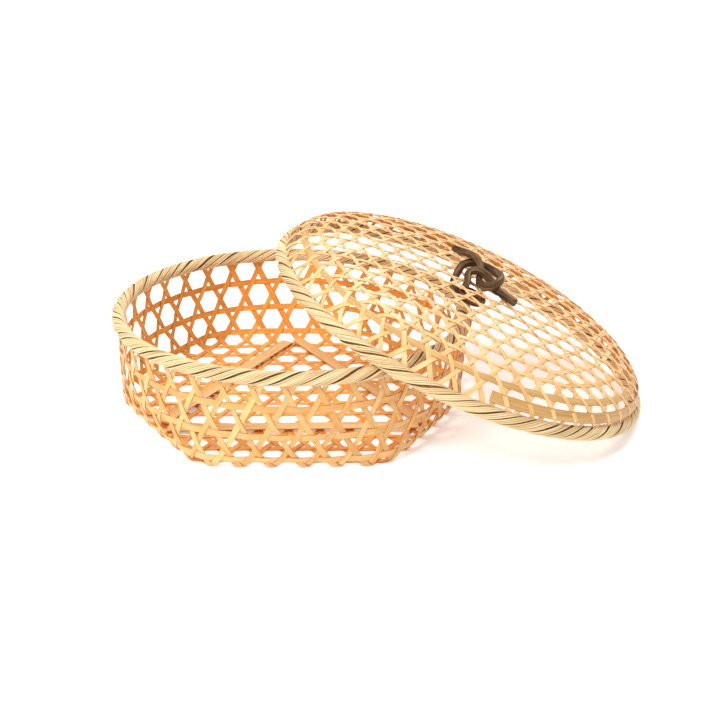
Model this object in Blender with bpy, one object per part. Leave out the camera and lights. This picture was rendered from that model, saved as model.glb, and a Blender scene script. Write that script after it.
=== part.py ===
"""A lidded basket of split bamboo: an open hexagonal weave with a flat hexagonal floor and a round rim,
and a domed lid of finer weave that leans on it, its left side on the basket's rim and its right side on
the table.

Metres, +Z up. The origin is the centre of the underside of the basket's floor, and one flat side of the
hexagonal floor faces -Y. Each woven panel is one thin shell here, with the panel's true outer shape.
"""

import math

import bmesh
import bpy
import numpy as np
from mathutils import Matrix, Vector

# Gaps
TOUCHING_GAP = 0.0004  # left between pieces that touch on the real object
REST_GAP = 0.0003  # left between the lid's rim and what it rests on: the basket's rim and the table

# Basket
FLOOR_CIRCUMRADIUS = 0.114  # centre to the corners of the hexagonal floor
FLOOR_CORNER_ROUNDING = 0.14  # how far each way a corner is averaged, as a share of one side
RIM_RADIUS = 0.110  # to the middle of the rope-like rim
RIM_HEIGHT = 0.0622  # to the middle of the rim
WALL_BULGE = 3.3  # the wall turns from the floor's outline to the rim's circle with this power of the height
WEAVE_THICKNESS = 0.0014  # two crossing strips

HOOP_HEIGHTS = (0.0055, 0.0230, 0.0425)  # middles of the three hoops woven round the wall
HOOP_WIDTH = 0.0048
HOOP_THICKNESS = 0.0007

BRACE_WIDTH = 0.0090
BRACE_THICKNESS = 0.0010
BRACE_SIDE_DISTANCE = 0.0494  # from the middle line of each brace to the side of the floor that it runs along
BRACE_END_CLEARANCE = 0.0050  # from the ends of each brace to the next sides of the floor

# Both rims: a flat hoop inside the weave, one outside it, and a wrapping round both
RIM_HOOP_THICKNESS = 0.0017
ROPE_RADIUS = 0.0047  # outside of the wrapping
WRAP_THICKNESS = 0.0008
WRAP_SIDES = 12  # sides of its round section

# Lid
LID_RADIUS = 0.1240  # to the middle of its rope-like rim
LID_CROWN_HEIGHT = 0.0290  # from the middle of the rim to the crown
DOME_SQUARENESS = 2.9  # 2 is an ellipse; more makes a flatter crown and a fuller shoulder
LID_WEAVE_THICKNESS = 0.0012
LID_SHIFT = 0.1086  # how far its middle has slid to the right; its tilt follows from the rims' touching
LID_AZIMUTH = math.radians(-7.0)  # where its lowest point lies, seen from above
LID_SIDE_SHIFT = 0.0040  # its middle lies this far off the basket's middle line

BAND_WIDTH = 0.0080
BAND_GAP = 0.0008  # from the rim's wrapping up to the wide band
SHOULDER_HOOP_WIDTH = 0.0045
SHOULDER_HOOP_GAP = 0.0022  # from the wide band up to the shoulder hoop
LID_HOOP_THICKNESS = 0.0007

# The knotted lace on the crown
LACE_DIAMETER = 0.0050
LACE_HOLE_CLEARANCE = 0.0006
LACE_POINT_SPACING = 0.0019

# In millimetres from the crown's outside, x towards the lid's low side and z away from the lid. The lace
# runs from the upper tail over the knot, round it and under its own band to the first leg, under the
# weave, and by the second leg back up through the knot to the lower tail.
LACE_UPPER_TAIL = (
    (-23.0, 15.0, 9.4),
    (-17.0, 10.6, 12.0),
    (-11.0, 6.2, 14.0),
    (-6.4, 2.6, 13.0),
    (-3.4, 0.4, 9.4),
    (-2.4, -1.2, 5.2),
    (-2.4, -5.6, 3.0),
    (-1.6, -10.6, 3.0),
    (2.0, -13.6, 3.2),
    (6.6, -12.0, 5.6),
    (9.8, -7.2, 8.6),
    (10.0, -0.6, 9.2),
    (5.4, 5.2, 8.9),
    (-2.0, 7.2, 8.6),
    (-9.6, 5.8, 8.2),
    (-14.6, 2.0, 6.0),
)
LACE_FIRST_LEG = (-16.0, 0.0)
LACE_UNDER_WEAVE = (
    (-16.6, -5.0, -6.0),
    (-14.6, -12.0, -6.8),
    (-9.0, -19.0, -7.0),
    (-1.0, -20.0, -7.0),
    (4.0, -15.0, -7.0),
    (2.6, -8.0, -7.0),
    (-3.6, -5.6, -6.8),
    (-8.0, -9.0, -5.8),
)
LACE_SECOND_LEG = (-9.6, -13.0)
LACE_LOWER_TAIL = (
    (-11.0, -9.6, 5.2),
    (-8.0, -6.8, 7.8),
    (-2.6, -6.4, 8.7),
    (3.4, -6.6, 6.6),
    (9.0, -8.0, 3.0),
    (15.0, -12.4, 2.9),
    (22.5, -19.0, 2.9),
)
LACE_LEG_LEVELS = (2.0, -0.6, -3.2)  # levels at which a leg passes straight through the weave

# How finely the round shapes are cut
HEXAGON_SIDES = 6
BASKET_SEGMENTS = 60
LID_SEGMENTS = 48
WALL_ROWS = 8
DOME_ROWS = 7
CORNER_SAMPLES = 9
SHARP_ANGLE = math.radians(40)
CUTTER_HEIGHT = 0.02
CUTTER_SEGMENTS = 16

# Colours of the pieces, with their roughness
STRAW = (0.80, 0.58, 0.30)
HONEY = (0.76, 0.50, 0.22)
RIM_TAN = (0.72, 0.54, 0.30)
LID_STRAW = (0.84, 0.66, 0.40)
LEATHER = (0.07, 0.045, 0.03)
BAMBOO_ROUGHNESS = 0.5
LEATHER_ROUGHNESS = 0.6


def clear_scene():
    for existing in list(bpy.data.objects):
        bpy.data.objects.remove(existing, do_unlink=True)


def make_material(name, colour, roughness):
    material = bpy.data.materials.new(name)
    material.use_nodes = True
    shader = material.node_tree.nodes["Principled BSDF"]
    shader.inputs["Base Color"].default_value = (*colour, 1.0)
    shader.inputs["Roughness"].default_value = roughness
    shader.inputs["Metallic"].default_value = 0.0
    material.diffuse_color = (*colour, 1.0)
    return material


def add_object(name, data, colour, roughness=BAMBOO_ROUGHNESS, parent=None):
    piece = bpy.data.objects.new(name, data)
    bpy.context.scene.collection.objects.link(piece)
    piece.data.materials.append(make_material(name, colour, roughness))
    piece.parent = parent
    return piece


def mesh_from(name, points, faces):
    """A mesh with outward faces, shaded smooth except at sharp edges."""
    mesh = bpy.data.meshes.new(name)
    mesh.from_pydata([tuple(point) for point in points], [], faces)
    shape = bmesh.new()
    shape.from_mesh(mesh)
    bmesh.ops.recalc_face_normals(shape, faces=shape.faces)
    shape.to_mesh(mesh)
    shape.free()
    mesh.shade_smooth()
    mesh.set_sharp_from_angle(angle=SHARP_ANGLE)
    return mesh


# Shapes of the two woven panels


def hexagon_point(turn):
    """The point this share of a turn round the sharp hexagon, from its corner on +X."""
    side = math.floor(turn * HEXAGON_SIDES)
    along = turn * HEXAGON_SIDES - side
    start, end = (
        FLOOR_CIRCUMRADIUS * np.array((math.cos(math.tau * corner / HEXAGON_SIDES),
                                       math.sin(math.tau * corner / HEXAGON_SIDES)))
        for corner in (side, side + 1)
    )
    return start + (end - start) * along


def floor_edge_point(turn):
    """The same with rounded corners: the average over a short stretch of the outline."""
    reach = FLOOR_CORNER_ROUNDING / HEXAGON_SIDES
    shifts = np.linspace(-reach, reach, CORNER_SAMPLES)
    return np.mean([hexagon_point(turn + shift) for shift in shifts], axis=0)


def wall_point(turn, height):
    """The middle of the basket's wall."""
    angle = math.tau * turn
    top = RIM_RADIUS * np.array((math.cos(angle), math.sin(angle)))
    share = max(1 - height / RIM_HEIGHT, 0) ** WALL_BULGE
    level = WEAVE_THICKNESS / 2 + height * (1 - WEAVE_THICKNESS / 2 / RIM_HEIGHT)
    return Vector((*(top + (floor_edge_point(turn) - top) * share), level))


def dome_point(turn, height):
    """The middle of the lid's weave, in the lid's own frame: its rim's middle plane is z = 0."""
    share = max(1 - (max(height, 0) / LID_CROWN_HEIGHT) ** DOME_SQUARENESS, 0)
    radius = LID_RADIUS * share ** (1 / DOME_SQUARENESS)
    return Vector((radius * math.cos(math.tau * turn), radius * math.sin(math.tau * turn), height))


def surface_frame(surface, turn, height):
    """Where a surface is, which way is out of it, and which way is up it."""
    step = 1e-4
    along = surface(turn + step, height) - surface(turn - step, height)
    up = surface(turn, height + step) - surface(turn, height - step)
    along.normalize()
    outward = along.cross(up).normalized()
    return surface(turn, height), outward, outward.cross(along)


def panel_from_rows(name, rows, centre, segments):
    """An open surface through rings of points, closed by a fan from its last ring to its centre."""
    points = [point for row in rows for point in row]
    faces = []
    for row in range(len(rows) - 1):
        for segment in range(segments):
            after = (segment + 1) % segments
            low, high = row * segments, (row + 1) * segments
            faces.append((low + segment, low + after, high + after, high + segment))
    last = (len(rows) - 1) * segments
    tip = len(points)
    points.append(centre)
    faces += [(last + segment, last + (segment + 1) % segments, tip) for segment in range(segments)]
    return mesh_from(name, points, faces)


def thicken(piece, thickness):
    """Gives a panel its thickness, half to each side."""
    solidify = piece.modifiers.new("thickness", "SOLIDIFY")
    solidify.thickness = thickness
    solidify.offset = 0.0
    solidify.use_even_offset = True


# Rings


def ring(name, surface, height, section, segments):
    """A closed ring that follows a surface round at one height. Its section is given as
    (out of the surface, up the surface)."""
    points = []
    for segment in range(segments):
        middle, outward, up = surface_frame(surface, segment / segments, height)
        points += [middle + outward * out + up * rise for out, rise in section]
    corners = len(section)
    faces = []
    for segment in range(segments):
        here, there = segment * corners, (segment + 1) % segments * corners
        for corner in range(corners):
            after = (corner + 1) % corners
            faces.append((here + corner, here + after, there + after, there + corner))
    return mesh_from(name, points, faces)


def flat_section(out, thickness, width):
    """A flat strip whose near face lies this far out of the surface."""
    return (
        (out, -width / 2),
        (out + thickness, -width / 2),
        (out + thickness, width / 2),
        (out, width / 2),
    )


def wrapping_section(weave_thickness, slot_side):
    """A round tube's section with a slot for the weave, on its lower side (-1) or its upper side (1)."""
    inner_radius = ROPE_RADIUS - WRAP_THICKNESS
    half_slot = weave_thickness / 2 + TOUCHING_GAP
    section = []
    for radius, order in ((ROPE_RADIUS, 1), (inner_radius, -1)):
        lip = math.asin(half_slot / radius)
        angles = np.linspace(lip, math.tau - lip, WRAP_SIDES + 1)[::order]
        section += [(radius * math.sin(angle), slot_side * radius * math.cos(angle)) for angle in angles]
    return tuple(section)


def rim_hoop_height(weave_thickness):
    """As high as a rim's hoops can be inside their wrapping."""
    reach = weave_thickness / 2 + TOUCHING_GAP + RIM_HOOP_THICKNESS
    inside = (ROPE_RADIUS - WRAP_THICKNESS) * math.cos(math.pi / WRAP_SIDES) - TOUCHING_GAP
    return 2 * math.sqrt(inside ** 2 - reach ** 2)


def rim(prefix, surface, weave_thickness, slot_side, segments, parent=None):
    """The two hoops that clamp the edge of a weave and the wrapping round them."""
    clear = weave_thickness / 2 + TOUCHING_GAP
    hoops = (
        ("rim_hoop_outer", clear),
        ("rim_hoop_inner", -clear - RIM_HOOP_THICKNESS),
    )
    for name, out in hoops:
        section = flat_section(out, RIM_HOOP_THICKNESS, rim_hoop_height(weave_thickness))
        add_object(prefix + name, ring(name, surface, 0.0, section, segments), HONEY, parent=parent)
    wrapping = ring("rim_wrapping", surface, 0.0, wrapping_section(weave_thickness, slot_side), segments)
    add_object(prefix + "rim_wrapping", wrapping, RIM_TAN, parent=parent)


# Basket


def basket_weave():
    edge = RIM_HEIGHT + rim_hoop_height(WEAVE_THICKNESS) / 2 - TOUCHING_GAP
    heights = [edge, *np.linspace(RIM_HEIGHT, 0, WALL_ROWS)]
    rows = [[wall_point(segment / BASKET_SEGMENTS, height) for segment in range(BASKET_SEGMENTS)]
            for height in heights]
    rows.append([Vector((point.x / 2, point.y / 2, point.z)) for point in rows[-1]])
    centre = Vector((0, 0, WEAVE_THICKNESS / 2))
    piece = add_object("basket_weave", panel_from_rows("basket_weave", rows, centre, BASKET_SEGMENTS), STRAW)
    thicken(piece, WEAVE_THICKNESS)


def wall_hoops():
    section = flat_section(WEAVE_THICKNESS / 2 + TOUCHING_GAP, HOOP_THICKNESS, HOOP_WIDTH)
    for name, height in zip(("lower_wall_hoop", "middle_wall_hoop", "upper_wall_hoop"), HOOP_HEIGHTS):
        add_object(name, ring(name, wall_point, height, section, BASKET_SEGMENTS), STRAW)


def floor_braces():
    """Three flat strips on the floor in a triangle. Each starts low and ends over the start of the next."""
    low = WEAVE_THICKNESS + TOUCHING_GAP
    climb = BRACE_THICKNESS + TOUCHING_GAP
    half_width = BRACE_WIDTH / 2
    inset = FLOOR_CIRCUMRADIUS * math.cos(math.pi / HEXAGON_SIDES) - BRACE_SIDE_DISTANCE
    floor_half_width = FLOOR_CIRCUMRADIUS - (inset + half_width) * math.tan(math.pi / HEXAGON_SIDES)
    half_length = floor_half_width - BRACE_END_CLEARANCE
    for name, degrees in (("front_floor_brace", 0), ("right_floor_brace", 120), ("left_floor_brace", 240)):
        corners = [
            Vector((along * half_length, across * half_width - inset,
                    low + level * BRACE_THICKNESS + (along + 1) / 2 * climb))
            for level in (0, 1)
            for along, across in ((-1, -1), (1, -1), (1, 1), (-1, 1))
        ]
        faces = [(0, 3, 2, 1), (4, 5, 6, 7), (0, 1, 5, 4), (1, 2, 6, 5), (2, 3, 7, 6), (3, 0, 4, 7)]
        brace = add_object(name, mesh_from(name, corners, faces), HONEY)
        brace.rotation_euler.z = math.radians(degrees)


def basket_rim():
    def rim_surface(turn, height):
        return wall_point(turn, RIM_HEIGHT) + Vector((0, 0, height))

    rim("", rim_surface, WEAVE_THICKNESS, -1, BASKET_SEGMENTS)


# Lid


def closest_rims(tilt):
    """The shortest distance between the middles of the two rims, with the lid tilted this far."""
    turns = np.linspace(0, math.tau, 720, endpoint=False)
    circle = np.stack((np.cos(turns), np.sin(turns), np.zeros_like(turns)))
    basket = RIM_RADIUS * circle + np.array((0, 0, RIM_HEIGHT))[:, None]
    pose = np.array(lid_matrix(tilt))
    lid = pose[:3, :3] @ (LID_RADIUS * circle) + pose[:3, 3:]
    return min(np.linalg.norm(basket - lid[:, [point]], axis=0).min() for point in range(lid.shape[1]))


def lid_matrix(tilt):
    """Turns the lid's own frame into the basket's, with the lid's rim on the table."""
    turned = Matrix.Rotation(LID_AZIMUTH, 4, "Z") @ Matrix.Rotation(tilt, 4, "Y")
    height = REST_GAP + ROPE_RADIUS + LID_RADIUS * math.sin(tilt)
    return Matrix.Translation((LID_SHIFT, LID_SIDE_SHIFT, height)) @ turned


def leaning_tilt():
    """How far the lid is tilted when it has come down, from upright, onto the basket's rim."""
    resting = 2 * ROPE_RADIUS + REST_GAP
    tilt, step = math.radians(90), math.radians(2)
    while step > 1e-6:
        while closest_rims(tilt - step) > resting:
            tilt -= step
        step /= 4
    return tilt


def lid_weave(lid_frame):
    edge = TOUCHING_GAP - rim_hoop_height(LID_WEAVE_THICKNESS) / 2
    first_climb = math.asin((ROPE_RADIUS / LID_CROWN_HEIGHT) ** (DOME_SQUARENESS / 2))
    climbs = np.linspace(first_climb, math.pi / 2, DOME_ROWS, endpoint=False)
    heights = [edge, 0, *(LID_CROWN_HEIGHT * math.sin(climb) ** (2 / DOME_SQUARENESS) for climb in climbs)]
    rows = [[dome_point(segment / LID_SEGMENTS, height) for segment in range(LID_SEGMENTS)]
            for height in heights]
    crown = Vector((0, 0, LID_CROWN_HEIGHT))
    mesh = panel_from_rows("lid_weave", rows, crown, LID_SEGMENTS)
    piece = add_object("lid_weave", mesh, LID_STRAW, parent=lid_frame)
    thicken(piece, LID_WEAVE_THICKNESS)
    return piece


def cut_lace_hole(weave, name, place, crown_frame):
    """Opens the weave where a leg of the lace passes through."""
    cutter = bpy.data.objects.new(name, bpy.data.meshes.new(name))
    bpy.context.scene.collection.objects.link(cutter)
    shape = bmesh.new()
    radius = LACE_DIAMETER / 2 + LACE_HOLE_CLEARANCE
    bmesh.ops.create_cone(shape, cap_ends=True, segments=CUTTER_SEGMENTS,
                          radius1=radius, radius2=radius, depth=CUTTER_HEIGHT)
    shape.to_mesh(cutter.data)
    shape.free()
    cutter.parent = crown_frame
    cutter.location = (place[0] / 1000, place[1] / 1000, 0)
    cutter.hide_render = True
    cutter.display_type = "WIRE"
    cut = weave.modifiers.new(name, "BOOLEAN")
    cut.operation = "DIFFERENCE"
    cut.solver = "MANIFOLD"
    cut.object = cutter


def lid_bands(lid_frame):
    """The wide band above the rim and the narrow hoop above the band."""
    level = ROPE_RADIUS
    bands = (
        ("lid_wide_band", BAND_GAP, BAND_WIDTH),
        ("lid_shoulder_hoop", SHOULDER_HOOP_GAP, SHOULDER_HOOP_WIDTH),
    )
    for name, gap, width in bands:
        height = level + gap + width / 2
        level = height + width / 2
        section = flat_section(LID_WEAVE_THICKNESS / 2 + TOUCHING_GAP, LID_HOOP_THICKNESS, width)
        add_object(name, ring(name, dome_point, height, section, LID_SEGMENTS), HONEY, parent=lid_frame)


def lid_rim(lid_frame):
    def rim_surface(turn, height):
        return dome_point(turn, 0.0) + Vector((0, 0, height))

    rim("lid_", rim_surface, LID_WEAVE_THICKNESS, 1, LID_SEGMENTS, lid_frame)


def smooth_route(points, spacing):
    """A smooth curve through hand-placed points, read at even steps."""
    points = [Vector(point) for point in points]
    padded = [2 * points[0] - points[1], *points, 2 * points[-1] - points[-2]]
    fine = []
    for before, start, end, after in zip(padded, padded[1:], padded[2:], padded[3:]):
        for share in np.linspace(0, 1, 20, endpoint=False):
            square, cube = share * share, share ** 3
            fine.append(0.5 * (2 * start + (end - before) * share
                               + (2 * before - 5 * start + 4 * end - after) * square
                               + (3 * start - before - 3 * end + after) * cube))
    fine.append(points[-1])
    lengths = np.concatenate(([0], np.cumsum([(b - a).length for a, b in zip(fine, fine[1:])])))
    stations = np.linspace(0, lengths[-1], max(2, round(lengths[-1] / spacing)))
    columns = [np.interp(stations, lengths, [point[axis] for point in fine]) for axis in range(3)]
    return list(zip(*columns))


def knob_lace(crown_frame):
    """A leather lace knotted through the middle of the lid, as its knob."""
    first_leg = [(*LACE_FIRST_LEG, level) for level in LACE_LEG_LEVELS]
    second_leg = [(*LACE_SECOND_LEG, level) for level in reversed(LACE_LEG_LEVELS)]
    route = (*LACE_UPPER_TAIL, *first_leg, *LACE_UNDER_WEAVE, *second_leg, *LACE_LOWER_TAIL)
    points = smooth_route([Vector(point) / 1000 for point in route], LACE_POINT_SPACING)
    curve = bpy.data.curves.new("knob_lace", "CURVE")
    curve.dimensions = "3D"
    curve.bevel_depth = LACE_DIAMETER / 2
    curve.bevel_resolution = 2
    curve.use_fill_caps = True
    spline = curve.splines.new("POLY")
    spline.points.add(len(points) - 1)
    for knot, point in zip(spline.points, points):
        knot.co = (*point, 1.0)
    spline.use_smooth = True
    add_object("knob_lace", curve, LEATHER, LEATHER_ROUGHNESS, crown_frame)


def add_empty(name, matrix, parent=None):
    empty = bpy.data.objects.new(name, None)
    bpy.context.scene.collection.objects.link(empty)
    empty.parent = parent
    empty.matrix_local = matrix
    return empty


def build_basket():
    basket_weave()
    wall_hoops()
    floor_braces()
    basket_rim()


def build_lid():
    lid_frame = add_empty("lid_frame", lid_matrix(leaning_tilt()))
    crown_outside = LID_CROWN_HEIGHT + LID_WEAVE_THICKNESS / 2
    crown_frame = add_empty("crown_frame", Matrix.Translation((0, 0, crown_outside)), lid_frame)
    weave = lid_weave(lid_frame)
    cut_lace_hole(weave, "first_lace_hole", LACE_FIRST_LEG, crown_frame)
    cut_lace_hole(weave, "second_lace_hole", LACE_SECOND_LEG, crown_frame)
    lid_bands(lid_frame)
    lid_rim(lid_frame)
    knob_lace(crown_frame)


clear_scene()
build_basket()
build_lid()
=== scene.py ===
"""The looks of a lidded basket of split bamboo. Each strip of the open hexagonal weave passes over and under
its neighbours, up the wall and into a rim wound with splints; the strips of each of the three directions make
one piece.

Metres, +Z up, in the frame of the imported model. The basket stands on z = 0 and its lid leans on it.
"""

import math

import bpy
import numpy as np
from mathutils import Matrix, Vector


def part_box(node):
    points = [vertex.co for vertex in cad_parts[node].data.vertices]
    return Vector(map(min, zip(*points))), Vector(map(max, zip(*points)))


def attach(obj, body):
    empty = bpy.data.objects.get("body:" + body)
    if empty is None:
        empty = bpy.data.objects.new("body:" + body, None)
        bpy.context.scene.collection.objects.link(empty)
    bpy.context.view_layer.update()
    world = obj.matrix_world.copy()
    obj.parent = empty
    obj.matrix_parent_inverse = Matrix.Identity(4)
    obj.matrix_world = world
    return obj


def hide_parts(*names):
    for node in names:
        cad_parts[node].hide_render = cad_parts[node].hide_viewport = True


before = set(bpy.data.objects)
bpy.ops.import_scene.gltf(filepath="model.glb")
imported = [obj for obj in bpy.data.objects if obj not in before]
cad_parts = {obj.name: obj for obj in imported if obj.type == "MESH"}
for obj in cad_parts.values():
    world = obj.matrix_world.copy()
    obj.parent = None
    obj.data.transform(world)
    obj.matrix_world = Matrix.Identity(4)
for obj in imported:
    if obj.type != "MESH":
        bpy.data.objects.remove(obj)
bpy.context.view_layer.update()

RANDOM_SEED = 11
LOWEST = 0.00005  # nothing reaches below this, so that nothing sinks into the floor
DOWN = np.array((0.0, 0.0, -1.0))

# Both rims
ROPE_RADIUS = 0.0047
SPLINT_BUNDLES = 6  # bundles of splints wound side by side
STRANDS_PER_BUNDLE = 3
SPLINT_THICKNESS = 0.0009
ROPE_CORE_RADIUS = 0.0032
BUNDLE_GAP = 0.0007  # gap between two bundles, where the dark core shows through as painted shade
STRAND_GAP = 0.00012
ROPE_CORE_STEPS = 240
BASKET_ROPE_TURNS = 13  # times each bundle goes round the rim
LID_ROPE_TURNS = 14
ROPE_STEP = 0.0022

# Basket
FLOOR_CIRCUMRADIUS = 0.114
FLOOR_CORNER_ROUNDING = 0.14
FLOOR_LEVEL = 0.0007  # middle of the weave
BASKET_CELLS = 6  # along each side of the hexagonal floor
BASKET_TOP_ROW = 3.45  # rows of the wall up to where the strips end inside the rim
BASKET_STRIP_WIDTH = 0.0037
BASKET_STRIP_THICKNESS = 0.00065
WALL_BULGE = 3.3
WALL_ROW_HEIGHT = 0.0197
FIRST_ROWS_CRUSH = 0.0069  # the first rows of the wall are lower, because the strips bend there
CRUSH_RATE = 1.53
HOOP_WIDTH = 0.0041
DRIFT = (0.05, 0.22, math.radians(110))  # how the strips have slid round the wall, in cells

# Lid
LID_CELLS = 8
LID_CELL = 0.0168  # pitch at the crown
LID_TURN = math.radians(3)
LID_STRIP_WIDTH = 0.0029
LID_STRIP_THICKNESS = 0.0005
LID_RADIUS = 0.1240  # to the middle of its rope-like rim
LID_CROWN_HEIGHT = 0.0290  # from the middle of the rim to the middle of the weave
DOME_SQUARENESS = 2.9
SHOULDER_ARC = 0.1110  # along the dome, from the crown to where the hexagon turns into rings
LID_ROW_ARC = 0.0125
LID_LAST_ROW = 2.0
BAND_ROW = 1.27
SHOULDER_HOOP_ROW = 0.5
BAND_BEND = 0.62  # rows over which a strip bends in or out beside the band
BAND_WIDTH = 0.0066
BAND_THICKNESS = 0.0007
BAND_START = math.radians(-83)  # where the wide band's free ends are, from the low side
BAND_END = math.radians(150)
SHOULDER_HOOP_WIDTH = 0.0044

STRIP_STEP = 0.0014
FOLD_SMOOTHING = 0.0028
WEAVE_GAP = 0.00008  # between two crossing strips

# Braces on the basket's floor
BRACE_STEP = 0.004
BRACE_BOW = 0.0004
BRACE_CLIMB = 0.0014  # from one end to the other, so that each passes over the next
BRACE_THICKNESS = 0.0011
BRACE_TAPER = 0.03  # share of its width that each end loses

# The knotted lace, in millimetres from the crown's outside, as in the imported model
LACE_WIDTH = 0.0058
LACE_THICKNESS = 0.0046
LACE_STEP = 0.0011
LACE_SIDES = 20
CROWN_TO_LACE_ORIGIN = 0.0006  # half of the lid weave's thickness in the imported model
LACE_UPPER_TAIL = (
    (-23.0, 15.0, 9.4), (-17.0, 10.6, 11.2), (-11.0, 6.2, 12.6), (-6.4, 2.6, 11.8), (-3.4, 0.4, 9.0),
    (-2.4, -1.2, 5.2), (-2.4, -5.6, 3.0), (-1.6, -10.6, 3.0), (2.0, -13.6, 3.2), (6.6, -12.0, 5.6),
    (9.8, -7.2, 8.6), (10.0, -0.6, 9.2), (5.4, 5.2, 8.9),
    (-2.0, 7.2, 8.6), (-9.6, 5.8, 8.2), (-14.6, 2.0, 6.0),
)
LACE_FIRST_LEG = ((-16.0, 0.0, 2.0), (-16.0, 0.0, -0.6), (-16.0, 0.0, -3.2))
LACE_UNDER_WEAVE = (
    (-16.6, -5.0, -6.0), (-14.6, -12.0, -6.8), (-9.0, -19.0, -7.0), (-1.0, -20.0, -7.0),
    (4.0, -15.0, -7.0), (2.6, -8.0, -7.0), (-3.6, -5.6, -6.8), (-8.0, -9.0, -5.8),
)
LACE_SECOND_LEG = ((-9.6, -13.0, -3.2), (-9.6, -13.0, -0.6), (-9.6, -13.0, 2.0))
LACE_LOWER_TAIL = (
    (-11.0, -9.6, 5.2), (-8.0, -6.8, 7.8), (-2.6, -6.4, 8.7), (3.4, -6.6, 6.6),
    (9.0, -8.0, 3.0), (15.0, -12.4, 2.9), (22.5, -19.0, 2.9),
)

# Section of a flat split strip: across and out, as shares of half its width and half its thickness
FLAT_PROFILE = ((-1, -0.4), (-0.88, -1), (0.88, -1), (1, -0.4), (1, 0.4), (0.88, 1), (-0.88, 1), (-1, 0.4))
# Section of one strand of the rims' wrapping, domed outside
DOMED_PROFILE = ((-1, -1), (1, -1), (1, 0.1), (0.62, 0.78), (0, 1), (-0.62, 0.78), (-1, 0.1))

# Camera and light
CAMERA_PLACE = Vector((-0.00254, -0.80503, 0.36882))
CAMERA_PITCH = math.radians(22.975)
CAMERA_YAW = math.radians(3.275)
CAMERA_ROLL = math.radians(1.095)
CAMERA_LENS = 67.3  # millimetres
FLOOR_HALF_WIDTH = 80.0

random = np.random.default_rng(RANDOM_SEED)
UP = -DOWN


# Meshes


def evenly(path, step, *others):
    """The path and what runs along it, read at even steps."""
    lengths = np.concatenate(([0], np.cumsum(np.linalg.norm(np.diff(path, axis=0), axis=1))))
    stations = np.linspace(0, lengths[-1], max(3, round(lengths[-1] / step) + 1))

    def read(values):
        if values.ndim == 1:
            return np.interp(stations, lengths, values)
        return np.stack([np.interp(stations, lengths, column) for column in values.T], axis=1)

    return [read(path), *(read(other) for other in others)]


def smoothed(values, reach):
    """A running average with a bell-shaped window of this many points, which keeps both ends in place."""
    count = max(1, round(3 * reach))
    window = np.exp(-0.5 * (np.arange(-count, count + 1) / reach) ** 2)
    window /= window.sum()
    columns = values.reshape(len(values), -1)
    before = 2 * columns[0] - columns[count:0:-1]
    after = 2 * columns[-1] - columns[-2:-count - 2:-1]
    padded = np.concatenate((before, columns, after))
    smooth = np.stack([np.convolve(column, window, "valid") for column in padded.T], axis=1)
    return smooth.reshape(values.shape)


def unit(vectors):
    return vectors / np.linalg.norm(vectors, axis=-1, keepdims=True)


def tangents(path, closed):
    if closed:
        return unit(np.roll(path, -1, axis=0) - np.roll(path, 1, axis=0))
    return unit(np.gradient(path, axis=0))


class Strips:
    """Collects strips and makes one mesh of them, with what their material reads: the place along and
    across each strip in metres, its outer side, and a random number for each strip."""

    def __init__(self):
        self.points, self.faces, self.maps = [], [], []
        self.along, self.across, self.outer, self.strip = [], [], [], []
        self.count = 0

    def add(self, path, out, width, thickness, profile=FLAT_PROFILE, closed=False):
        """width and thickness are numbers or one value for each point of the path."""
        profile = np.array(profile, float)
        steps, corners = len(path), len(profile)
        along = tangents(path, closed)
        side = unit(np.cross(along, out))
        out = np.cross(side, along)
        half_width = np.broadcast_to(np.asarray(width) / 2, steps)[:, None, None]
        half_thickness = np.broadcast_to(np.asarray(thickness) / 2, steps)[:, None, None]
        across = profile[None, :, :1] * half_width
        rise = profile[None, :, 1:] * half_thickness
        points = path[:, None] + side[:, None] * across + out[:, None] * rise
        lengths = np.concatenate(([0], np.cumsum(np.linalg.norm(np.diff(path, axis=0), axis=1))))
        spans = steps if closed else steps - 1
        step, corner = np.meshgrid(np.arange(spans), np.arange(corners), indexing="ij")
        step, corner = step.ravel(), corner.ravel()
        next_step, next_corner = (step + 1) % steps, (corner + 1) % corners
        quads = np.stack((step * corners + corner, next_step * corners + corner,
                          next_step * corners + next_corner, step * corners + next_corner), axis=1)
        left, right = step / spans, (step + 1) / spans
        low, high = corner / corners, (corner + 1) / corners
        atlas = np.stack((left, low, right, low, right, high, left, high), axis=1).reshape(-1, 2)
        points[..., 2] = np.maximum(points[..., 2], LOWEST)
        start = self.total_points()
        self.faces += (quads + start).tolist()
        self.maps.append((atlas, self.count))
        if not closed:
            self.faces.append([start + corner for corner in range(corners)])
            self.faces.append([start + (steps - 1) * corners + corner for corner in reversed(range(corners))])
            self.maps.append((np.tile((0.0, 0.0), (2 * corners, 1)), self.count))
        self.points.append(points.reshape(-1, 3))
        self.along.append(np.repeat(lengths, corners))
        self.across.append(np.broadcast_to(across[..., 0], (steps, corners)).ravel())
        self.outer.append(np.tile((profile[:, 1] + 1) / 2, steps))
        self.strip.append(np.full(steps * corners, random.random()))
        self.count += 1

    def total_points(self):
        return sum(len(points) for points in self.points)

    def piece(self, name, material):
        mesh = bpy.data.meshes.new(name)
        mesh.from_pydata(np.concatenate(self.points).tolist(), [], self.faces)
        for label, values in (("along", self.along), ("across", self.across),
                              ("outer", self.outer), ("strip", self.strip)):
            attribute = mesh.attributes.new(label, "FLOAT", "POINT")
            attribute.data.foreach_set("value", np.concatenate(values).astype(np.float32))
        atlas = np.concatenate([(place + (0, number)) / (1, self.count) for place, number in self.maps])
        layer = mesh.uv_layers.new(name="OFBake")
        layer.data.foreach_set("uv", atlas.astype(np.float32).ravel())
        mesh.shade_smooth()
        mesh.set_sharp_from_angle(angle=math.radians(38))
        mesh.materials.append(material)
        piece = bpy.data.objects.new(name, mesh)
        bpy.context.scene.collection.objects.link(piece)
        return piece


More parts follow.
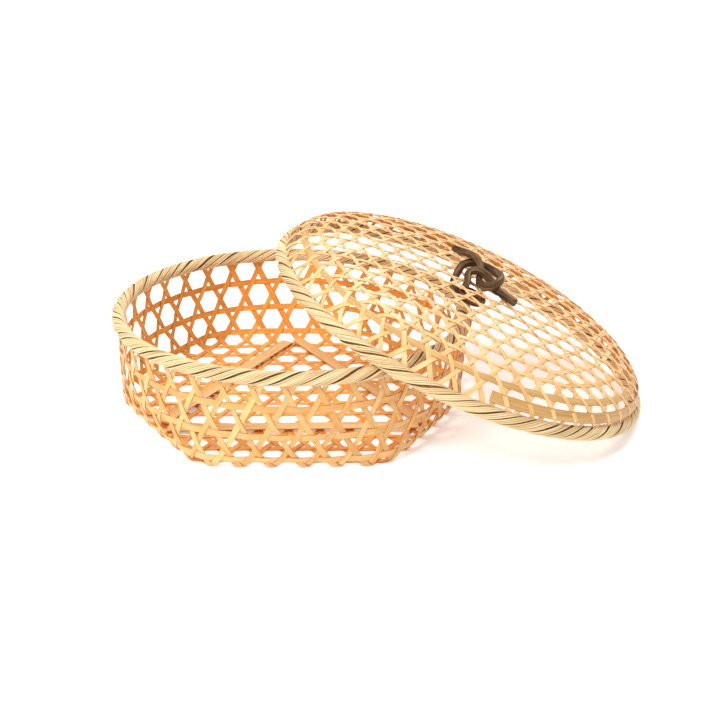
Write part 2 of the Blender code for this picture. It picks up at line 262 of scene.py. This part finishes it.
def finished(piece, body, slot, *nodes):
    """The piece moves with a body and stands for the nodes; slot is not used."""
    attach(piece, body)
    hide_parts(*nodes)
    return piece


# The hexagonal lattice, in cells: six sides of this many cells, the first corner on +X


def lattice_line(cells, family, line):
    """One line: its direction, its distance from the centre, and for each end the distance from the foot
    of the perpendicular, the place round the hexagon and which way it leans on round the wall."""
    angle = math.radians(60 * family)
    direction = np.array((math.cos(angle), math.sin(angle)))
    normal = np.array((-direction[1], direction[0]))
    apart = math.sqrt(3) / 2
    offset = (line + 0.5) * apart
    ends = []
    for sign in (-1, 1):
        reaches = []
        for side in range(6):
            facing = math.radians(60 * side + 30)
            outward = np.array((math.cos(facing), math.sin(facing)))
            closing = sign * direction @ outward
            if closing > 1e-9:
                reaches.append(((cells * apart - offset * (normal @ outward)) / closing, side))
        reach, side = min(reaches)
        point = offset * normal + sign * reach * direction
        corner = cells * np.array((math.cos(math.radians(60 * side)), math.sin(math.radians(60 * side))))
        round_hexagon = side * cells + np.linalg.norm(point - corner)
        facing = math.radians(60 * side + 30)
        lean = np.sign(sign * direction @ np.array((-math.sin(facing), math.cos(facing))))
        ends.append((reach, round_hexagon, lean))
    return direction, normal, offset, ends


def over_and_under(along, line, amplitude):
    """How far out of the weave a strip lies at this place along it, in cells."""
    return amplitude * np.cos(math.tau * (along - line / 2 - 0.75))


def hoop_over_and_under(round_wall, line, amplitude):
    return amplitude * np.cos(math.tau * (round_wall + line / 2 - 0.25))


def wander(length, size):
    """A slow sideways wander along a strip, as hand-laid strips have."""
    return size * sum(np.sin(length * rate + random.uniform(0, math.tau)) for rate in (18, 41)) / 2


# Basket


def drifted(round_wall):
    steady, swing, where = DRIFT
    return round_wall + steady + swing * np.cos(math.tau * round_wall / (6 * BASKET_CELLS) - where)


def row_height(row):
    return WALL_ROW_HEIGHT * row - FIRST_ROWS_CRUSH * (1 - np.exp(-CRUSH_RATE * row))


def hexagon_edge(turn):
    side = np.floor(turn * 6)
    first, last = side * math.tau / 6, (side + 1) * math.tau / 6
    start = np.stack((np.cos(first), np.sin(first)), axis=-1)
    end = np.stack((np.cos(last), np.sin(last)), axis=-1)
    return FLOOR_CIRCUMRADIUS * (start + (end - start) * (turn * 6 - side)[..., None])


def floor_edge(turn):
    reach = FLOOR_CORNER_ROUNDING / 6
    return np.mean([hexagon_edge(turn + shift) for shift in np.linspace(-reach, reach, 9)], axis=0)


def basket_wall(round_wall, row):
    """Points of the basket's wall."""
    turn = np.asarray(round_wall, float) / (6 * BASKET_CELLS)
    height = row_height(np.asarray(row, float))
    top = rim_radius * np.stack((np.cos(math.tau * turn), np.sin(math.tau * turn)), axis=-1)
    share = np.clip(1 - height / rim_height, 0, 1) ** WALL_BULGE
    flat = top + (floor_edge(turn) - top) * share[..., None]
    level = FLOOR_LEVEL + height * (1 - FLOOR_LEVEL / rim_height)
    return np.concatenate((flat, level[..., None]), axis=-1)


def surface_out(surface, round_wall, row, step=0.02):
    """The outward direction of a wall whose rows go up."""
    across = surface(round_wall + step, row) - surface(round_wall - step, row)
    up = surface(round_wall, row + step) - surface(round_wall, row - step)
    return unit(np.cross(across, up))


def basket_strip(strips, family, line):
    ends = lattice_line(BASKET_CELLS, family, line)[3]
    rows = np.linspace(0, BASKET_TOP_ROW, 120)
    walls = []
    for reach, start, lean in ends:
        round_wall = drifted(start) + lean * rows / 2
        out = surface_out(basket_wall, round_wall, rows)
        walls.append((basket_wall(round_wall, rows), out, reach + rows))
    (left, left_out, left_along), (right, right_out, right_along) = walls
    shares = np.linspace(0, 1, 160)[1:-1]
    floor = left[0] + (right[0] - left[0]) * shares[:, None]
    floor_along = -left_along[0] + (right_along[0] + left_along[0]) * shares
    path = np.concatenate((left[::-1], floor, right))
    out = np.concatenate((left_out[::-1], np.tile(DOWN, (len(floor), 1)), right_out))
    along = np.concatenate((-left_along[::-1], floor_along, right_along))
    add_woven_strip(strips, path, out, along, line, BASKET_STRIP_WIDTH, BASKET_STRIP_THICKNESS)


def add_woven_strip(strips, path, out, along, line, width, thickness, lift=None):
    path, out, along, *lift = evenly(path, STRIP_STEP, out, along, *(() if lift is None else (lift,)))
    reach = FOLD_SMOOTHING / STRIP_STEP
    path, out = smoothed(path, reach), unit(smoothed(out, reach))
    offset = over_and_under(along, line, (thickness + WEAVE_GAP) / 2)
    if lift:
        share = np.abs(lift[0]) / max(np.abs(lift[0]).max(), 1e-9)
        offset = offset * (1 - share) + lift[0]
    side = unit(np.cross(tangents(path, False), out))
    length = np.arange(len(path)) * STRIP_STEP
    path = path + out * offset[:, None] + side * wander(length, 0.00045)[:, None]
    widths = width * (1 + 0.08 * random.standard_normal()) * (1 + wander(length, 0.06))
    strips.add(path, out, widths, thickness)


def basket_weave():
    for family, name in enumerate(("basket_strips_a", "basket_strips_b", "basket_strips_c")):
        strips = Strips()
        for line in range(-BASKET_CELLS, BASKET_CELLS):
            basket_strip(strips, family, line)
        finished(strips.piece(name, materials["basket"]), "basket", "basket_strips", "basket_weave")


def basket_hoops():
    around = np.linspace(0, 6 * BASKET_CELLS, 6 * BASKET_CELLS * 14, endpoint=False)
    for number, name in enumerate(("lower_wall_hoop", "middle_wall_hoop", "upper_wall_hoop")):
        row = np.full_like(around, number + 0.5)
        path = basket_wall(drifted(around), row)
        out = surface_out(basket_wall, drifted(around), row)
        amplitude = (BASKET_STRIP_THICKNESS + WEAVE_GAP) / 2
        offset = hoop_over_and_under(around, BASKET_CELLS + number, amplitude)
        strips = Strips()
        strips.add(path + out * offset[:, None], out, HOOP_WIDTH, BASKET_STRIP_THICKNESS, closed=True)
        finished(strips.piece(name + "_woven", materials["basket"]), "basket", "basket_strips", name)


def floor_braces():
    """Flat strips on the floor, slightly bowed, each along the middle line of its node."""
    low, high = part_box("front_floor_brace")
    half_length, inset = (high.x - low.x) / 2, -(high.y + low.y) / 2
    width = high.y - low.y
    for name, degrees in (("front_floor_brace", 0), ("right_floor_brace", 120), ("left_floor_brace", 240)):
        angle = math.radians(degrees)
        turned = np.array(((math.cos(angle), -math.sin(angle), 0),
                           (math.sin(angle), math.cos(angle), 0),
                           (0, 0, 1)))
        along = np.linspace(-half_length, half_length, round(2 * half_length / BRACE_STEP))
        share = along / half_length
        level = brace_start + (share + 1) / 2 * BRACE_CLIMB + BRACE_BOW * (1 - share ** 2)
        path = np.stack((along, np.full_like(along, -inset), level), axis=1) @ turned.T
        strips = Strips()
        widths = width * (1 - BRACE_TAPER * share ** 2)
        strips.add(path, np.tile(UP, (len(path), 1)), widths, BRACE_THICKNESS)
        finished(strips.piece(name + "_bamboo", materials["brace"]), "basket", "brace_bamboo", name)


# Rims


def wound_rim(prefix, body, radius, matrix, turns, node):
    """Bundles of splints wound round a ring, over a dark core whose colour is painted shade, seen through the
    gaps between the bundles.
    """
    strips = Strips()
    circumference = math.tau * ROPE_RADIUS
    pitch = math.tau * radius / turns
    slant = circumference / math.hypot(circumference, pitch)
    bundle_width = pitch / SPLINT_BUNDLES * slant - BUNDLE_GAP
    strand_width = bundle_width / STRANDS_PER_BUNDLE - STRAND_GAP
    steps = round(math.tau * radius * math.hypot(1, circumference / pitch) / ROPE_STEP)
    around = np.linspace(0, math.tau, steps, endpoint=False)
    for bundle in range(SPLINT_BUNDLES):
        bundle_wander = 0.10 * np.sin(3 * around + random.uniform(0, math.tau))
        bundle_wander += 0.07 * np.sin(8 * around + random.uniform(0, math.tau))
        for strand in range(STRANDS_PER_BUNDLE):
            across = (strand - (STRANDS_PER_BUNDLE - 1) / 2) * (strand_width + STRAND_GAP)
            shift = across / slant / pitch * math.tau
            wound = turns * around + bundle * math.tau / SPLINT_BUNDLES + shift + bundle_wander
            sink = 0.00025 * (1 + np.sin(5 * around + random.uniform(0, math.tau))) / 2
            sink = sink + 0.0001 * random.random()
            level = ROPE_RADIUS - SPLINT_THICKNESS / 2 - sink
            spoke = np.stack((np.cos(around), np.sin(around), np.zeros(steps)), axis=1)
            out = spoke * np.cos(wound)[:, None] + UP * np.sin(wound)[:, None]
            path = spoke * radius + out * level[:, None]
            widths = strand_width * (1 + 0.10 * np.sin(6 * around + random.uniform(0, math.tau)))
            strips.add(path @ matrix[:3, :3].T + matrix[:3, 3], out @ matrix[:3, :3].T,
                       widths, SPLINT_THICKNESS, DOMED_PROFILE, True)
    finished(strips.piece(prefix + "rim_splints", materials["rim"]), body, "rim_splints", node)

    # The dark core: painted shade in the gaps between the bundles.
    shade_core = Strips()
    around = np.linspace(0, math.tau, ROPE_CORE_STEPS, endpoint=False)
    spoke = np.stack((np.cos(around), np.sin(around), np.zeros(ROPE_CORE_STEPS)), axis=1)
    ring = [(math.cos(angle), math.sin(angle)) for angle in np.linspace(0, math.tau, 12, endpoint=False)]
    shade_core.add(spoke * radius @ matrix[:3, :3].T + matrix[:3, 3], spoke @ matrix[:3, :3].T,
             2 * ROPE_CORE_RADIUS, 2 * ROPE_CORE_RADIUS, ring, True)
    finished(shade_core.piece(prefix + "rim_shade_core", materials["shade_core"]), body, "rim_splints", node)


# Lid


def lid_pose():
    """The lid's own frame, from its outer rim hoop: the middle of the rim, z out of the crown, and x
    towards the lid's low side."""
    points = np.array([vertex.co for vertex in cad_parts["lid_rim_hoop_outer"].data.vertices])
    middle = points.mean(axis=0)
    up = np.linalg.svd(points - middle, full_matrices=False)[2][2]
    up *= np.sign(up[2])
    low_side = unit(DOWN - up * (DOWN @ up))
    matrix = np.eye(4)
    matrix[:3, 0], matrix[:3, 1], matrix[:3, 2], matrix[:3, 3] = low_side, np.cross(up, low_side), up, middle
    return matrix


def dome_table():
    """Distance along the dome from the crown, with the radius and the height there."""
    radius = LID_RADIUS * np.sin(np.linspace(0, math.pi / 2, 4000))
    height = LID_CROWN_HEIGHT * (1 - (radius / LID_RADIUS) ** DOME_SQUARENESS) ** (1 / DOME_SQUARENESS)
    arc = np.concatenate(([0], np.cumsum(np.hypot(np.diff(radius), np.diff(height)))))
    return arc, radius, height


def dome_place(arc, angle):
    """Points and outward directions of the dome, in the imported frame."""
    arcs, radii, heights = dome
    radius, height = np.interp(arc, arcs, radii), np.interp(arc, arcs, heights)
    ahead, behind = arc + 0.0008, np.maximum(arc - 0.0008, 0)
    run = np.interp(ahead, arcs, radii) - np.interp(behind, arcs, radii)
    rise = np.interp(ahead, arcs, heights) - np.interp(behind, arcs, heights)
    steep = np.hypot(run, rise)
    spoke = np.stack((np.cos(angle), np.sin(angle), np.zeros_like(angle)), axis=1)
    out = spoke * (-rise / steep)[:, None] + UP * (run / steep)[:, None]
    points = spoke * radius[:, None] + UP * height[:, None]
    return points @ lid[:3, :3].T + lid[:3, 3], out @ lid[:3, :3].T


def crown_place(flat):
    """Where a point of the flat lattice lies: even round the crown, drawn in to a ring at the shoulder."""
    distance = np.linalg.norm(flat, axis=1)
    angle = np.arctan2(flat[:, 1], flat[:, 0]) % math.tau
    side = np.floor(angle / (math.tau / 6))
    from_middle = angle - (side + 0.5) * math.tau / 6
    edge = LID_CELLS * math.sqrt(3) / 2 / np.cos(from_middle)
    share = np.clip(distance / edge, 0, 1)
    pull = share ** 2
    arc = LID_CELL * distance * (1 - pull) + SHOULDER_ARC * share * pull
    along_side = 0.5 + np.tan(from_middle) * math.sqrt(3) / 2
    even = (side + along_side) * math.tau / 6
    return dome_place(arc, angle * (1 - pull) + even * pull + LID_TURN)


def lid_wall_place(round_lid, row):
    arc = SHOULDER_ARC + row * LID_ROW_ARC
    return dome_place(arc, round_lid / (6 * LID_CELLS) * math.tau + LID_TURN)


def on_band(round_lid):
    """Whether the wide band, which doesn't go all the way round, is at this place."""
    angle = round_lid / (6 * LID_CELLS) * math.tau + LID_TURN
    return (angle - BAND_START) % math.tau < BAND_END - BAND_START


def lid_strip(strips, family, line):
    direction, normal, offset, ends = lattice_line(LID_CELLS, family, line)
    rows = np.linspace(0, LID_LAST_ROW, 60)
    near_band = np.clip(1 - np.abs(rows - BAND_ROW) / BAND_BEND, 0, 1)
    near_band = near_band ** 2 * (3 - 2 * near_band)
    clear = (BAND_THICKNESS + LID_STRIP_THICKNESS) / 2 + WEAVE_GAP
    walls = []
    for reach, start, lean in ends:
        points, out = lid_wall_place(start + lean * rows / 2, rows)
        beside_band = on_band(start + lean * BAND_ROW / 2)
        walls.append((points, out, reach + rows, lean * clear * near_band * beside_band))
    (left, left_out, left_along, left_lift), (right, right_out, right_along, right_lift) = walls
    flat_along = np.linspace(-left_along[0], right_along[0], 300)[1:-1]
    crown, crown_out = crown_place(offset * normal + flat_along[:, None] * direction)
    path = np.concatenate((left[::-1], crown, right))
    out = np.concatenate((left_out[::-1], crown_out, right_out))
    along = np.concatenate((-left_along[::-1], flat_along, right_along))
    lift = np.concatenate((left_lift[::-1], np.zeros(len(crown)), right_lift))
    add_woven_strip(strips, path, out, along, line, LID_STRIP_WIDTH, LID_STRIP_THICKNESS, lift)


def lid_weave():
    for family, name in enumerate(("lid_strips_a", "lid_strips_b", "lid_strips_c")):
        strips = Strips()
        for line in range(-LID_CELLS, LID_CELLS):
            lid_strip(strips, family, line)
        finished(strips.piece(name, materials["lid"]), "lid", "lid_strips", "lid_weave")


def lid_hoops():
    around = np.linspace(0, 6 * LID_CELLS, 6 * LID_CELLS * 12, endpoint=False)
    path, out = lid_wall_place(around, np.full_like(around, SHOULDER_HOOP_ROW))
    offset = hoop_over_and_under(around, LID_CELLS, (LID_STRIP_THICKNESS + WEAVE_GAP) / 2)
    hoop = Strips()
    hoop.add(path + out * offset[:, None], out, SHOULDER_HOOP_WIDTH, LID_STRIP_THICKNESS, closed=True)
    hoop_piece = hoop.piece("lid_shoulder_hoop_woven", materials["band"])
    finished(hoop_piece, "lid", "lid_band_bamboo", "lid_shoulder_hoop")

    angle = np.linspace(BAND_START, BAND_END, 360)
    path, out = dome_place(np.full_like(angle, SHOULDER_ARC + BAND_ROW * LID_ROW_ARC), angle)
    band = Strips()
    band.add(path, out, BAND_WIDTH, BAND_THICKNESS)
    finished(band.piece("lid_wide_band_woven", materials["band"]), "lid", "lid_band_bamboo", "lid_wide_band")


# Lace


def smooth_route(points, spacing):
    """A smooth curve through given points, read at even steps."""
    points = np.array(points, float)
    padded = np.concatenate(([2 * points[0] - points[1]], points, [2 * points[-1] - points[-2]]))
    fine = []
    for before, start, end, after in zip(padded, padded[1:], padded[2:], padded[3:]):
        for share in np.linspace(0, 1, 20, endpoint=False):
            fine.append(0.5 * (2 * start + (end - before) * share
                               + (2 * before - 5 * start + 4 * end - after) * share ** 2
                               + (3 * start - before - 3 * end + after) * share ** 3))
    fine.append(points[-1])
    return evenly(np.array(fine), spacing)[0]


def carried_frame(path, first_out):
    """Directions out of the path that turn with it and don't twist."""
    along = tangents(path, False)
    out = [unit(first_out - along[0] * (first_out @ along[0]))]
    for direction in along[1:]:
        last = out[-1]
        out.append(unit(last - direction * (last @ direction)))
    return np.array(out)


def knob_lace():
    route = LACE_UPPER_TAIL + LACE_FIRST_LEG + LACE_UNDER_WEAVE + LACE_SECOND_LEG + LACE_LOWER_TAIL
    path = smooth_route(np.array(route) / 1000, LACE_STEP)
    path[:, 2] += LID_CROWN_HEIGHT + CROWN_TO_LACE_ORIGIN
    out = carried_frame(path, np.array((0.3, 0.3, 1.0)))
    matrix = lid[:3, :3]
    section = []
    for angle in np.linspace(0, math.tau, LACE_SIDES, endpoint=False):
        across, rise = math.cos(angle), math.sin(angle)
        groove = 1 - 0.16 * math.exp(-(across / 0.22) ** 2)
        square = (abs(across) ** 2.6 + abs(rise) ** 2.6) ** (-1 / 2.6)
        section.append((across * square, rise * square * groove))
    steps = len(path)
    length = np.arange(steps) * LACE_STEP
    widths = LACE_WIDTH * (0.97 + wander(length * 8, 0.05))
    heights = LACE_THICKNESS * (0.97 + wander(length * 9, 0.06))
    lace = Strips()
    lace.add(path @ matrix.T + lid[:3, 3], out @ matrix.T, widths, heights, section)
    finished(lace.piece("knob_lace_leather", materials["leather"]), "lid", "lace_leather", "knob_lace")


# Materials


class Nodes:
    """Short calls for making a material's nodes."""

    def __init__(self, name):
        self.material = bpy.data.materials.new(name)
        self.material.use_nodes = True
        self.tree = self.material.node_tree
        self.shader = self.tree.nodes["Principled BSDF"]

    def node(self, kind, **settings):
        made = self.tree.nodes.new(kind)
        for key, value in settings.items():
            setattr(made, key, value)
        return made

    def link(self, source, target):
        self.tree.links.new(source, target)

    def attribute(self, name):
        return self.node("ShaderNodeAttribute", attribute_name=name).outputs["Fac"]

    def math(self, operation, *values):
        made = self.node("ShaderNodeMath", operation=operation)
        for socket, value in zip(made.inputs, values):
            if isinstance(value, (int, float)):
                socket.default_value = value
            else:
                self.link(value, socket)
        return made.outputs[0]

    def vector(self, *values):
        made = self.node("ShaderNodeCombineXYZ")
        for socket, value in zip(made.inputs, values):
            if isinstance(value, (int, float)):
                socket.default_value = value
            else:
                self.link(value, socket)
        return made.outputs[0]

    def stretched(self, along, along_scale, across, across_scale, third):
        """A place for a noise that is stretched along the strip."""
        first = self.math("MULTIPLY", along, along_scale)
        return self.vector(first, self.math("MULTIPLY", across, across_scale), third)

    def noise(self, vector, scale, detail=2.0, roughness=0.5):
        made = self.node("ShaderNodeTexNoise")
        self.link(vector, made.inputs["Vector"])
        made.inputs["Scale"].default_value = scale
        made.inputs["Detail"].default_value = detail
        made.inputs["Roughness"].default_value = roughness
        return made.outputs["Fac"]

    def ramp(self, value, *stops):
        made = self.node("ShaderNodeValToRGB")
        self.link(value, made.inputs["Fac"])
        elements = made.color_ramp.elements
        while len(elements) < len(stops):
            elements.new(0.5)
        for element, (place, colour) in zip(elements, stops):
            element.position = place
            element.color = (*colour, 1.0) if len(colour) == 3 else colour
        return made.outputs["Color"]

    def mix(self, share, first, second, blend="MIX"):
        made = self.node("ShaderNodeMix", data_type="RGBA", blend_type=blend)
        for socket, value in ((made.inputs[0], share), (made.inputs[6], first), (made.inputs[7], second)):
            if isinstance(value, (int, float)):
                socket.default_value = value
            elif isinstance(value, tuple):
                socket.default_value = (*value, 1.0)
            else:
                self.link(value, socket)
        return made.outputs[2]

    def bump(self, height, strength, distance):
        made = self.node("ShaderNodeBump")
        made.inputs["Strength"].default_value = strength
        made.inputs["Distance"].default_value = distance
        self.link(height, made.inputs["Height"])
        self.link(made.outputs["Normal"], self.shader.inputs["Normal"])


def grey(value):
    return (value, value, value)


def bamboo(name, skin, skin_dark, flesh_and_glow, flesh_and_glow_dark, roughness=0.42, streak=0.5):
    """Split bamboo: a smooth pale skin outside, more coloured flesh inside whose saturated orange is partly
    its own colour and partly painted glow of light shining through the strips, and fibres along the strip.
    """
    nodes = Nodes(name)
    along, across = nodes.attribute("along"), nodes.attribute("across")
    outer, strip = nodes.attribute("outer"), nodes.attribute("strip")
    offset = nodes.math("MULTIPLY", strip, 37.0)
    fibre_place = nodes.stretched(along, 28.0, across, 2600.0, offset)
    fibres = nodes.noise(fibre_place, 1.0, 3.0, 0.6)
    blotch_place = nodes.stretched(along, 45.0, across, 160.0, offset)
    blotches = nodes.noise(blotch_place, 1.0, 2.0)
    tone_place = nodes.vector(nodes.math("MULTIPLY", along, 9.0), offset, 0.0)
    tone = nodes.noise(tone_place, 1.0, 1.0)
    wear = nodes.math("ADD", nodes.math("MULTIPLY", tone, 0.55), nodes.math("MULTIPLY", strip, 0.45))
    outside = nodes.mix(nodes.ramp(wear, (0.25, grey(0)), (0.8, grey(1))), skin, skin_dark)
    # The inner faces' orange: partly the flesh's own colour, partly painted glow of light shining through the
    # strips.
    inside = nodes.mix(nodes.ramp(wear, (0.25, grey(0)), (0.8, grey(1))), flesh_and_glow, flesh_and_glow_dark)
    facing = nodes.ramp(outer, (0.62, grey(0)), (0.88, grey(1)))
    colour = nodes.mix(facing, inside, outside)
    streaks = nodes.ramp(fibres, (0.32, grey(1 - streak)), (0.62, grey(1)))
    colour = nodes.mix(0.8, colour, streaks, "MULTIPLY")
    patches = nodes.ramp(blotches, (0.30, (0.80, 0.66, 0.46)), (0.52, grey(1)))
    colour = nodes.mix(0.45, colour, patches, "MULTIPLY")
    # The strips' sides are darkened: painted shade along the strip edges.
    edge_shade_colour = (0.62, 0.42, 0.24)
    painted_edge_shade = nodes.ramp(outer, (0.10, grey(1)), (0.36, edge_shade_colour), (0.64, edge_shade_colour), (0.90, grey(1)))
    colour = nodes.mix(0.85, colour, painted_edge_shade, "MULTIPLY")
    nodes.link(colour, nodes.shader.inputs["Base Color"])
    rough = nodes.ramp(fibres, (0.3, grey(roughness + 0.14)), (0.7, grey(roughness - 0.05)))
    nodes.link(rough, nodes.shader.inputs["Roughness"])
    nodes.shader.inputs["Specular IOR Level"].default_value = 0.45
    nodes.bump(fibres, 0.35, 0.00025)
    return nodes.material


def splints(name):
    """The rims' wrapping: greyish straw with long fine cracks."""
    nodes = Nodes(name)
    along, across = nodes.attribute("along"), nodes.attribute("across")
    outer, strip = nodes.attribute("outer"), nodes.attribute("strip")
    offset = nodes.math("MULTIPLY", strip, 53.0)
    fibre_place = nodes.stretched(along, 22.0, across, 2400.0, offset)
    fibres = nodes.noise(fibre_place, 1.0, 3.0, 0.65)
    tone_place = nodes.vector(nodes.math("MULTIPLY", along, 26.0), offset, 0.0)
    tone = nodes.noise(tone_place, 1.0, 2.0)
    colour = nodes.ramp(tone, (0.25, (0.62, 0.42, 0.19)), (0.5, (0.78, 0.58, 0.31)),
                        (0.75, (0.90, 0.72, 0.44)))
    cracks = nodes.ramp(fibres, (0.33, (0.42, 0.28, 0.14)), (0.47, grey(1)))
    colour = nodes.mix(0.75, colour, cracks, "MULTIPLY")
    # The strands' undersides and lower sides are darkened: painted shade in the gaps between the strands.
    painted_gap_shade = nodes.ramp(outer, (0.35, (0.30, 0.17, 0.07)), (0.75, grey(1)))
    colour = nodes.mix(0.9, colour, painted_gap_shade, "MULTIPLY")
    nodes.link(colour, nodes.shader.inputs["Base Color"])
    rough = nodes.ramp(fibres, (0.3, grey(0.68)), (0.7, grey(0.45)))
    nodes.link(rough, nodes.shader.inputs["Roughness"])
    nodes.bump(fibres, 0.6, 0.0004)
    return nodes.material


def leather(name):
    """Dark worn leather with a fine grain and lighter streaks along it."""
    nodes = Nodes(name)
    along, across, outer = nodes.attribute("along"), nodes.attribute("across"), nodes.attribute("outer")
    place = nodes.stretched(along, 900.0, across, 900.0, nodes.math("MULTIPLY", outer, 3.0))
    grain = nodes.noise(place, 1.0, 4.0, 0.7)
    streak_place = nodes.stretched(along, 60.0, across, 1500.0, outer)
    streaks = nodes.noise(streak_place, 1.0, 3.0, 0.6)
    colour = nodes.ramp(streaks, (0.34, (0.022, 0.011, 0.005)), (0.52, (0.115, 0.062, 0.028)),
                        (0.68, (0.30, 0.175, 0.085)))
    nodes.link(colour, nodes.shader.inputs["Base Color"])
    rough = nodes.ramp(grain, (0.3, grey(0.75)), (0.7, grey(0.5)))
    nodes.link(rough, nodes.shader.inputs["Roughness"])
    nodes.shader.inputs["Specular IOR Level"].default_value = 0.2
    height = nodes.math("ADD", nodes.math("MULTIPLY", grain, 0.5), streaks)
    nodes.bump(height, 0.7, 0.0006)
    return nodes.material


# Dark brown for the core inside the rims: painted shade, seen through the gaps between the bundles.
def shade_core_material(name):
    nodes = Nodes(name)
    along, across = nodes.attribute("along"), nodes.attribute("across")
    place = nodes.stretched(along, 40.0, across, 1500.0, 0.0)
    fibres = nodes.noise(place, 1.0, 3.0)
    colour = nodes.ramp(fibres, (0.35, (0.14, 0.065, 0.02)), (0.65, (0.30, 0.16, 0.06)))
    nodes.link(colour, nodes.shader.inputs["Base Color"])
    nodes.shader.inputs["Roughness"].default_value = 0.8
    nodes.bump(fibres, 0.4, 0.0003)
    return nodes.material


def rim_hoop_bamboo(name):
    """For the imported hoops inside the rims, which carry no strip to read: an even, fibrous brown."""
    nodes = Nodes(name)
    place = nodes.node("ShaderNodeTexCoord").outputs["Object"]
    fibres = nodes.noise(place, 900.0, 3.0)
    colour = nodes.ramp(fibres, (0.35, (0.30, 0.15, 0.05)), (0.65, (0.52, 0.28, 0.10)))
    nodes.link(colour, nodes.shader.inputs["Base Color"])
    nodes.shader.inputs["Roughness"].default_value = 0.6
    nodes.bump(fibres, 0.3, 0.0002)
    return nodes.material


def make_materials():
    # The third and fourth colours of each bamboo are the flesh's: partly its own colour, partly painted glow
    # of light shining through the strips.
    return {
        "basket": bamboo("basket_bamboo", (0.88, 0.55, 0.22), (0.78, 0.39, 0.11),
                         (0.96, 0.45, 0.085), (0.86, 0.32, 0.045)),
        "lid": bamboo("lid_bamboo", (0.92, 0.62, 0.29), (0.84, 0.48, 0.17),
                         (0.92, 0.44, 0.10), (0.80, 0.31, 0.05)),
        "brace": bamboo("brace_bamboo", (0.90, 0.56, 0.24), (0.80, 0.44, 0.16),
                         (0.88, 0.44, 0.13), (0.72, 0.32, 0.07)),
        "band": bamboo("band_bamboo", (0.72, 0.44, 0.16), (0.58, 0.31, 0.09),
                         (0.84, 0.38, 0.09), (0.68, 0.26, 0.05)),
        "rim": splints("rim_splint_bamboo"),
        "shade_core": shade_core_material("rim_shade_core_material"),
        "hoop": rim_hoop_bamboo("rim_hoop_bamboo"),
        "leather": leather("lace_leather"),
    }


# Stage


def add_light(name, place, target, size, energy, colour):
    light = bpy.data.lights.new(name, "AREA")
    light.shape = "DISK"
    light.size = size
    light.energy = energy
    light.color = colour
    lamp = bpy.data.objects.new(name, light)
    lamp.location = place
    lamp.rotation_euler = (Vector(target) - Vector(place)).to_track_quat("-Z", "Y").to_euler()
    bpy.context.scene.collection.objects.link(lamp)


def stage():
    mesh = bpy.data.meshes.new("floor")
    half = FLOOR_HALF_WIDTH
    corners = [(-half, -half, 0), (half, -half, 0), (half, half, 0), (-half, half, 0)]
    mesh.from_pydata(corners, [], [(0, 1, 2, 3)])
    floor = bpy.data.objects.new("floor", mesh)
    bpy.context.scene.collection.objects.link(floor)
    paper = Nodes("white_paper")
    paper.shader.inputs["Base Color"].default_value = (0.91, 0.92, 0.93, 1.0)
    paper.shader.inputs["Roughness"].default_value = 0.7
    paper.shader.inputs["Specular IOR Level"].default_value = 0.1
    paper.shader.inputs["Emission Color"].default_value = (1.0, 0.995, 0.99, 1.0)
    paper.shader.inputs["Emission Strength"].default_value = 0.24
    mesh.materials.append(paper.material)
    world = bpy.data.worlds.new("studio")
    world.use_nodes = True
    sky = world.node_tree.nodes["Background"]
    sky.inputs["Color"].default_value = (1.0, 0.99, 0.98, 1.0)
    sky.inputs["Strength"].default_value = 0.78
    bpy.context.scene.world = world
    bpy.context.scene.view_settings.view_transform = "Standard"
    add_light("key", (-0.9, -0.9, 1.5), (0.05, 0, 0.03), 0.7, 30, (1.0, 0.97, 0.93))
    add_light("back", (0.6, 1.1, 1.3), (0.05, 0, 0.03), 1.0, 14, (1.0, 0.98, 0.95))


def camera():
    pitch, yaw = CAMERA_PITCH, CAMERA_YAW
    ahead = Vector((math.sin(yaw) * math.cos(pitch), math.cos(yaw) * math.cos(pitch), -math.sin(pitch)))
    level = Vector((math.cos(yaw), -math.sin(yaw), 0))
    upward = level.cross(ahead)
    right = level * math.cos(CAMERA_ROLL) + upward * math.sin(CAMERA_ROLL)
    up = upward * math.cos(CAMERA_ROLL) - level * math.sin(CAMERA_ROLL)
    data = bpy.data.cameras.new("camera")
    data.lens = CAMERA_LENS
    data.clip_start = 0.01
    eye = bpy.data.objects.new("camera", data)
    axes = Matrix((right, up, -ahead)).transposed().to_4x4()
    eye.matrix_world = Matrix.Translation(CAMERA_PLACE) @ axes
    bpy.context.scene.collection.objects.link(eye)
    bpy.context.scene.camera = eye


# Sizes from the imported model
rim_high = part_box("rim_wrapping")[1]
rim_radius = rim_high.x - ROPE_RADIUS
rim_height = rim_high.z - ROPE_RADIUS
brace_low, brace_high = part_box("front_floor_brace")
brace_start = (brace_low.z + brace_high.z) / 2 - BRACE_CLIMB / 2
lid = lid_pose()
dome = dome_table()

camera()
materials = make_materials()
basket_weave()
basket_hoops()
floor_braces()
basket_rim_pose = np.array(Matrix.Translation((0, 0, rim_height)))
wound_rim("", "basket", rim_radius, basket_rim_pose, BASKET_ROPE_TURNS, "rim_wrapping")
lid_weave()
lid_hoops()
wound_rim("lid_", "lid", LID_RADIUS, lid, LID_ROPE_TURNS, "lid_rim_wrapping")
knob_lace()
for node in ("rim_hoop_inner", "rim_hoop_outer", "lid_rim_hoop_inner", "lid_rim_hoop_outer"):
    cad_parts[node].data.materials.clear()
    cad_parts[node].data.materials.append(materials["hoop"])
stage()
